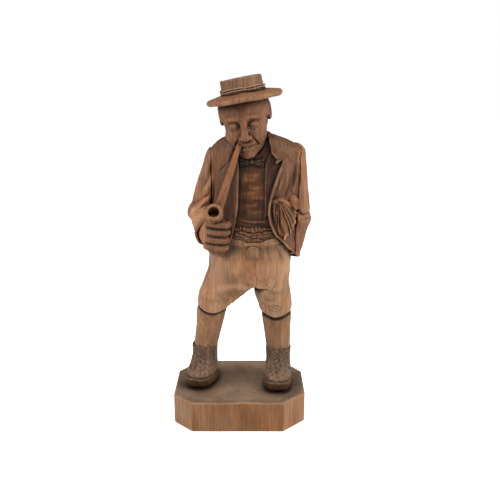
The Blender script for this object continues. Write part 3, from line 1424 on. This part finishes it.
print("edges round one four-sided face:", len(ring_edges(np.arange(4).reshape(1, 4))[0]))

# %% [markdown]
# Stain took differently on each piece. A tone below 0 is darker than the wood's own colour: the
# waistcoat and the collar, the plinth's top, the knife line under a hem. Warmth above 0 is redder:
# the band of the boots and the front of the breeches; below 0 it is greyer, as on the dusty top of
# the plinth.


# %% Tones of the coat
def coat_parts(p):
    """What lies in front, what the open coat shows, and what hangs below the sash, each from 0 to 1."""
    front = facing(p[1], 1.5)
    return front, within(p, opening, 0.8) * front, ease((sash_foot(p[0]) - p[2]) / 0.8)


def coat_tone(p, normals):
    x, y, z = p
    front, inside, waist = coat_parts(p)
    collar = np.maximum(within(p, left_collar, 1.5), within(p, right_collar, 1.5)) * front
    left = ease((x - 18) / 3) * front
    pocket = np.exp(-(((x - 27) / 5) ** 2) - ((z - split_z - 4) / 7) ** 2) * front
    right = ease((2 - x) / 3) * front
    coat = -0.3 - 0.3 * collar - (0.25 * left + 0.45 * right) * (1 - collar) - 0.5 * pocket
    crest = creases((x, y, z - 1.4), waistcoat_folds)
    waistcoat = -1.4 + 2.4 * np.clip(crest, 0, 0.5)
    return inside * (0.8 * waist + waistcoat * (1 - waist)) + (1 - inside) * coat


def right_sleeve_tone(p, normals):
    part = part_way(p, right_elbow, wrist)
    return 0.45 + 1.8 * ease((part - 0.05) / 0.2) * ease((0.98 - part) / 0.2)


def left_sleeve_tone(p, normals):
    return 0.8 - 0.7 * ease((left_elbow[2] + 2 - p[2]) / 6)


print("tone high on the left sleeve:", float(left_sleeve_tone(left_shoulder, None)))


# %% Tones of the lower half
def plinth_parts(normals):
    """The front face, the cut corners beside it and the top, each from 0 to 1."""
    front = facing(normals[:, 1], -0.9, 0.05)
    corners = facing(normals[:, 1], -0.2, 0.1) * (1 - front)
    return front, corners, ease(normals[:, 2] * 1.6 - 0.3)


def plinth_tone(p, normals):
    front, corners, top = plinth_parts(normals)
    stripe = bell((p[0] - 3 - 1.5 * np.sin(p[2] * 0.2)) / 4.5)
    return -0.1 * top - 0.75 * stripe * front + 0.6 * corners


def boot_tone(p, normals):
    rise = p[2] - floor_z
    mottle = np.sin(p[0] * 1.3 + 2 * np.sin(p[2] * 0.7)) * np.sin(p[2] * 1.1 + p[0] * 0.4 + p[1] * 0.5)
    above = ease((rise - toe_band) / 1.0)
    toe_cap = bell((rise - toe_band - 2) / 2.2)
    worn = 0.1 + 0.5 * mottle + 0.7 * toe_cap - 0.3 * ease((rise - 15) / 8)
    return -0.6 * (1 - above) + above * worn


def stocking_tone(side):
    def tone(p, normals):
        below = hem_edge(p[0], p[1], hems[side]) - p[2]
        dark = 0.1 if side == "right" else 0.35
        line = 1.2 + 1.4 * facing(p[1], hems[side][1][1])
        return -dark - line * bell((below - 1.8) / 1.8)

    return tone


def breeches_tone(p, normals):
    under_sash = ease((p[2] - split_z + 10) / 10) * facing(p[1], 0.0)
    fold = np.clip(creases(p, breeches_folds), 0, 1.5) * facing(p[1], hip[1])
    return 0.35 - 1.2 * under_sash - 0.3 * fold


print("tone of the band of a boot:", round(float(boot_tone((0.0, 0.0, floor_z), None)), 2))


# %% Tones of hand, pipe, head, cloth and hat
def fist_tone(p, normals):
    return -0.35 + 1.3 * ease((-19 - p[0]) / 4)


def bowl_tone(p, normals):
    reach = along_axis(p, bowl_foot, bowl_axis)
    return -0.2 + 0.5 * ease((reach - bowl_length + 0.8) / 0.6)


def head_tone(p, normals):
    q = turned(p, head_middle, **head_lean)
    return -0.45 * ease((q[2] - 7) / 8) - 0.15


def cloth_tone(p, normals):
    edge = patch(p, cloth_outline)
    frayed = bell((edge + 0.4) / 1.5) * ease((p[0] - 27) / 4)
    puff = np.exp(-(((p[0] - 35.5) / 3.5) ** 2) - ((p[2] - split_z - 31) / 3.5) ** 2)
    return -0.35 + 2.6 * frayed + 1.2 * puff


def brim_tone(p, normals):
    return 0.15 + 0.35 * ease(normals[:, 2] * 2 - 0.6)


print("tone of the front of the fist:", round(float(fist_tone(fist, None)), 2))


# %% Warmth
def coat_warmth(p, normals):
    inside, below = coat_parts(p)[1:]
    waist = below * inside
    return 0.4 + 0.5 * (inside - waist) - 0.9 * waist


def boot_warmth(p, normals):
    rise = p[2] - floor_z
    return -0.2 + 1.7 * ease((toe_band - 0.5 - rise) / 1.0)


def breeches_warmth(p, normals):
    x, y, z = p
    middle_front = np.exp(-(((x - 8) / 12) ** 2) - ((z - split_z + 12) / 16) ** 2) * facing(y, 0.0)
    return middle_front - 0.2


def plinth_warmth(p, normals):
    corners, top = plinth_parts(normals)[1:]
    return 0.4 - 2.1 * top - 0.6 * corners


print("warmth of the band of a boot:", round(float(boot_warmth((0.0, 0.0, floor_z), None)), 2))

# %% [markdown]
# Every piece gets a wood, a tone and a warmth. A plain number is the same all over the piece; a
# function reads the place and the direction of each point.

# %% Woods, tones and warmths of the pieces
dressing = {
    "plinth_block": ("plinth_wood", plinth_tone, plinth_warmth),
    "right_boot_carved": ("boot_wood", boot_tone, boot_warmth),
    "left_boot_carved": ("boot_wood", boot_tone, boot_warmth),
    "right_stocking_carved": ("breeches_wood", stocking_tone("right"), 0.0),
    "left_stocking_carved": ("breeches_wood", stocking_tone("left"), 0.0),
    "breeches_carved": ("breeches_wood", breeches_tone, breeches_warmth),
    "button_turned": ("breeches_wood", 0.0, 0.0),
    "coat_and_waistcoat": ("coat_wood", coat_tone, coat_warmth),
    "sash_carved": ("coat_wood", -0.45, 0.4),
    "bow_tie_carved": ("coat_wood", -1.9, 0.0),
    "right_sleeve": ("coat_wood", right_sleeve_tone, 0.0),
    "left_sleeve": ("coat_wood", left_sleeve_tone, 0.0),
    "pipe_fist": ("flesh_wood", fist_tone, 0.6),
    "pipe_bowl_turned": ("pipe_wood", bowl_tone, 0.0),
    "pipe_stem_carved": ("pipe_wood", 0.2, 0.6),
    "head_carved": ("flesh_wood", head_tone, 0.5),
    "hat_brim_carved": ("hat_wood", brim_tone, 0.4),
    "hat_crown_carved": ("hat_wood", -0.2, -0.2),
    "pocket_cloth_carved": ("coat_wood", cloth_tone, 0.4),
    "hat_band_rolls": ("hat_wood", 0.0, 0.0),
}
print("pieces to dress:", len(dressing))

# %% Carve every form
fine_size = 0.45
fine_share = 0.35
# How far out free room is looked for, in mm, and the share of each reach in the wax.
wax_reaches = ((1.5, 0.3), (3.0, 0.35), (6.0, 0.35), (10.0, 0.25))
pieces = {}


def dress(name, points, faces, spec):
    """Makes the finished piece: its mesh with the four attributes, its wood, and its place on a body."""
    normals = normals_of(points, faces)
    start, end = ring_edges(faces)
    degree = np.bincount(start, minlength=len(points))
    fine = above_smooth(points, normals, start, end, degree, 3)
    broad = above_smooth(points, normals, start, end, degree, 16)
    shut = np.zeros(len(points))
    for reach, share in wax_reaches:
        shut += share * np.clip(1 - room_at(points + normals * reach) / reach - 0.12, 0, 1)
    wax = np.clip(shut + np.clip(-fine / 0.3, 0, 0.35) + np.clip(-broad / 0.8 - 0.06, 0, 0.55), 0, 1)
    wear = np.clip(fine / 0.35 + broad / 1.3 - 0.18, 0, 0.55) * np.clip(1 - 1.5 * shut, 0, 1)
    slot, tone, warm = dressing[name]
    layers = {"wax": wax, "wear": wear}
    for key, rule in (("tone", tone), ("warm", warm)):
        layers[key] = rule(tuple(points.T), normals) if callable(rule) else np.full(len(points), rule)
    made = plain_mesh(name, points, faces, layers)
    made.data.materials.append(woods[slot])
    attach(made, spec["body"])
    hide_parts(*spec["nodes"])
    pieces[name] = made
    print(name, len(faces) * 2, "triangles", "box", np.round(points.min(0), 1), np.round(points.max(0), 1))


for seed, (name, spec) in enumerate(forms.items()):
    step = spec["step"] * 1.0
    points, faces, outward = largest_part(*skin(spec["field"], spec["low"], spec["high"], step))
    stroke = np.array(spec["stroke"], float)
    fine_marks = chips(points, stroke * fine_size, 10 * seed + 100)
    marks = chips(points, stroke, 10 * seed) + fine_share * fine_marks
    if spec["calm"]:
        marks = marks * (1 - spec["calm"](tuple(points.T)))
    points = points + outward * (spec["cut"] * marks)[:, None]
    points[:, 2] = np.maximum(points[:, 2], 0)
    dress(name, points, faces, spec)
print("carved pieces:", len(pieces))

# %% [markdown]
# The hat band is a pair of cut rolls round the foot of the crown. They repeat and follow a path,
# which is work for Geometry Nodes: a circle is bent a little by noise, thickened, and set on a short
# upright row of points, each roll turned by its own angle so that the bends don't line up. The result
# is read back as a plain mesh.


# %% Tree of the hat band
band_inputs = {
    "Count": ("Int", 2),
    "Radius": ("Float", 14.3 * MM),
    "Thickness": ("Float", 0.7 * MM),
    "Rise": ("Float", 1.5 * MM),
    "Wander": ("Float", 1.8 * MM),
    "Seed": ("Int", 5),
    "Wood": ("Material", woods["hat_wood"]),
}
bend_cell_mm = 8
most_turn = 6.0
band_above_foot = 1.2


def band_tree():
    tree = bpy.data.node_groups.new("hat_band_rolls", "GeometryNodeTree")
    for label, (kind, _) in band_inputs.items():
        tree.interface.new_socket(label, in_out="INPUT", socket_type="NodeSocket" + kind)
    tree.interface.new_socket("Geometry", in_out="OUTPUT", socket_type="NodeSocketGeometry")
    given = add(tree, "NodeGroupInput").outputs
    ring = add(tree, "GeometryNodeCurvePrimitiveCircle", {"Resolution": 160, "Radius": given["Radius"]})
    noise = add(tree, "ShaderNodeTexNoise", {"Scale": 1 / (bend_cell_mm * MM), "Detail": 2.0})
    ends = {0: noise.outputs["Color"], 1: (0.5, 0.5, 0.5)}
    centred = add(tree, "ShaderNodeVectorMath", ends, operation="SUBTRACT")
    length = {0: centred.outputs[0], "Scale": given["Wander"]}
    bend = add(tree, "ShaderNodeVectorMath", length, operation="SCALE")
    bent = add(tree, "GeometryNodeSetPosition", {"Geometry": ring.outputs[0], "Offset": bend.outputs[0]})
    section = {"Resolution": 10, "Radius": given["Thickness"]}
    profile = add(tree, "GeometryNodeCurvePrimitiveCircle", section)
    swept = {"Curve": bent.outputs[0], "Profile Curve": profile.outputs[0]}
    roll = add(tree, "GeometryNodeCurveToMesh", swept)
    step = add(tree, "ShaderNodeCombineXYZ", {"Z": given["Rise"]})
    row = add(tree, "GeometryNodeMeshLine", {"Count": given["Count"], "Offset": step.outputs[0]})
    span = {"Max": (0, 0, most_turn), "Seed": given["Seed"]}
    turn = add(tree, "FunctionNodeRandomValue", span, data_type="FLOAT_VECTOR")
    each = {"Points": row.outputs[0], "Instance": roll.outputs[0], "Rotation": turn.outputs[0]}
    placed = add(tree, "GeometryNodeInstanceOnPoints", each)
    real = add(tree, "GeometryNodeRealizeInstances", {"Geometry": placed.outputs[0]})
    wood = add(tree, "GeometryNodeSetMaterial", {"Geometry": real.outputs[0], "Material": given["Wood"]})
    add(tree, "NodeGroupOutput", {"Geometry": wood.outputs[0]})
    return tree


band = band_tree()
print("nodes in the tree of the band:", len(band.nodes))


# %% Hat band
def grown(tree, inputs):
    """Runs a Geometry Nodes tree with these inputs and gives its points in millimetres and its faces."""
    holder = bpy.data.objects.new(tree.name, bpy.data.meshes.new(tree.name))
    bpy.context.scene.collection.objects.link(holder)
    modifier = holder.modifiers.new(tree.name, "NODES")
    modifier.node_group = tree
    for socket in tree.interface.items_tree:
        if socket.in_out == "INPUT":
            modifier[socket.identifier] = inputs[socket.name][1]
    ready = holder.evaluated_get(bpy.context.evaluated_depsgraph_get())
    mesh = bpy.data.meshes.new_from_object(ready)
    points = np.array([v.co for v in mesh.vertices]) / MM
    faces = np.array([tuple(f.vertices) for f in mesh.polygons])
    holder.modifiers.remove(modifier)
    bpy.data.objects.remove(holder)
    bpy.data.meshes.remove(mesh)
    return points, faces


points, faces = grown(band, band_inputs)
axes_in_hat = np.array(turned(np.eye(3), (0, 0, 0), **hat_lean))
points = (points + (0, 0, crown_foot_z + band_above_foot)) @ axes_in_hat + hat_middle
dress("hat_band_rolls", points, faces, {"body": "upper_half", "nodes": ["hat_band"]})

# %% [markdown]
# What stays from the CAD frame is out of sight while the figure is closed: plain beech dowels,
# the dull brass plate under the cone, and the pins that hold it.


# %% Hidden joinery
def hidden_finish(name, dark, light, cells_mm, spread, detail, metal, rough):
    """A plain two-colour finish: noise turns dark into light between the ends of spread."""
    made, tree = blank(name)
    place = add(tree, "ShaderNodeTexCoord").outputs["Object"]
    space = add(tree, "ShaderNodeMapping", {"Vector": place, "Scale": per_mm(*cells_mm)})
    noise = {"Vector": space.outputs[0], "Scale": 1.0, "Detail": detail}
    fleck = add(tree, "ShaderNodeTexNoise", noise).outputs["Fac"]
    ramp = add(tree, "ShaderNodeValToRGB", {"Fac": fleck})
    for element, position, colour in zip(ramp.color_ramp.elements, spread, (dark, light)):
        element.position = position
        element.color = linear(colour)
    dull = add(tree, "ShaderNodeMapRange", {"Value": fleck, "To Min": rough[0], "To Max": rough[1]})
    surface = {"Base Color": ramp.outputs[0], "Metallic": metal, "Roughness": dull.outputs["Result"]}
    shader = add(tree, "ShaderNodeBsdfPrincipled", surface)
    add(tree, "ShaderNodeOutputMaterial", {"Surface": shader.outputs[0]})
    return made


# Bare beech is pale and dull, with short upright flecks. Smoke stains the brass in patches and dulls it
# there; drawn wire is a plain grey.
beech_look = dict(spread=(0.0, 1.0), detail=3.0, metal=0.0, rough=(0.6, 0.6))
metal_look = dict(spread=(0.35, 0.65), detail=4.0, metal=1.0, rough=(0.6, 0.3))
beech = hidden_finish("plain_beech_dowel", "#a77c53", "#cfa878", (0.8, 0.8, 14), **beech_look)
brass = hidden_finish("smoke_stained_brass", "#5b4630", "#b08d4f", (4, 4, 4), **metal_look)
steel = hidden_finish("drawn_steel_wire", "#6f6d6a", "#a6a6a4", (1.5, 1.5, 1.5), **metal_look)
hidden = {name: beech for name in ("leg_dowels", "knee_dowels", "shoulder_dowels", "wrist_dowel")}
hidden.update(incense_plate=brass, plate_pins=steel)
for name, material in hidden.items():
    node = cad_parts[name]
    node.data.materials.clear()
    node.data.materials.append(material)
print("hidden pieces:", ", ".join(hidden))

# %% [markdown]
# The stage: a pale floor, white surroundings and soft lamps, two of them from the sides as in a light
# tent. The camera sees floor and world as white; the light on the object is at a level where a colour
# looks as written.

# %% World and floor
world = bpy.data.worlds.new("studio")
bpy.context.scene.world = world
world.use_nodes = True
sky = world.node_tree
sky.nodes.clear()
path = add(sky, "ShaderNodeLightPath")
seen = {"Value": path.outputs["Is Camera Ray"], "To Min": 0.33, "To Max": 1.0}
glow = add(sky, "ShaderNodeMapRange", seen)
ground = add(sky, "ShaderNodeBackground", {"Color": (1, 1, 1, 1), "Strength": glow.outputs["Result"]})
add(sky, "ShaderNodeOutputWorld", {"Surface": ground.outputs[0]})

floor_half = 3.0
floor_corners = [(sx * floor_half, sy * floor_half, 0) for sx, sy in ((-1, -1), (1, -1), (1, 1), (-1, 1))]
floor_mesh = bpy.data.meshes.new("floor")
floor_mesh.from_pydata(floor_corners, [], [(0, 1, 2, 3)])
floor = bpy.data.objects.new("floor", floor_mesh)
bpy.context.scene.collection.objects.link(floor)
paper, tree = blank("white_paper_floor")
path = add(tree, "ShaderNodeLightPath")
lift = add(tree, "ShaderNodeMath", {0: path.outputs["Is Camera Ray"], 1: 0.85}, operation="MULTIPLY")
sheet = {"Base Color": linear("#f4f3f1"), "Roughness": 0.9, "Emission Color": (1, 1, 1, 1)}
matt = add(tree, "ShaderNodeBsdfPrincipled", {**sheet, "Emission Strength": lift.outputs[0]})
add(tree, "ShaderNodeOutputMaterial", {"Surface": matt.outputs[0]})
floor_mesh.materials.append(paper)
print("floor half width", floor_half, "m")

# %% Lamps
lamp_size = 0.6
lamp_aim = Vector((0, 0, 0.12))
lamps = {
    "left_of_picture": ((-0.85, -0.32, 0.6), 6.6),
    "right_of_picture": ((0.85, -0.3, 0.6), 7.4),
    "above_camera": ((0, -0.9, 0.9), 3.0),
}
for name, (place, watts) in lamps.items():
    light = bpy.data.lights.new(name, "AREA")
    light.shape = "DISK"
    light.size = lamp_size
    light.energy = watts
    lamp = bpy.data.objects.new(name, light)
    lamp.location = place
    lamp.rotation_euler = (lamp_aim - Vector(place)).to_track_quat("-Z", "Y").to_euler()
    bpy.context.scene.collection.objects.link(lamp)
print("lamps:", ", ".join(lamps))

# %% [markdown]
# The camera stands where the photograph was taken from. Its place and tip were fitted to the plinth,
# and its focal length is given in pixels of the photograph.

# %% Camera
focal_pixels = 673.0
photo_pixels = 500
camera_place = (7.4 * MM, -450 * MM, 242.5 * MM)
camera_tip = 15.1
camera = bpy.data.cameras.new("camera")
camera.sensor_fit = "HORIZONTAL"
camera.sensor_width = 36.0
camera.lens = focal_pixels / photo_pixels * camera.sensor_width
eye = bpy.data.objects.new("camera", camera)
eye.location = camera_place
eye.rotation_euler = (np.radians(90 - camera_tip), 0, 0)
bpy.context.scene.collection.objects.link(eye)
bpy.context.scene.camera = eye
bpy.context.scene.view_settings.view_transform = "Standard"
print("camera lens", round(camera.lens, 2), "mm")
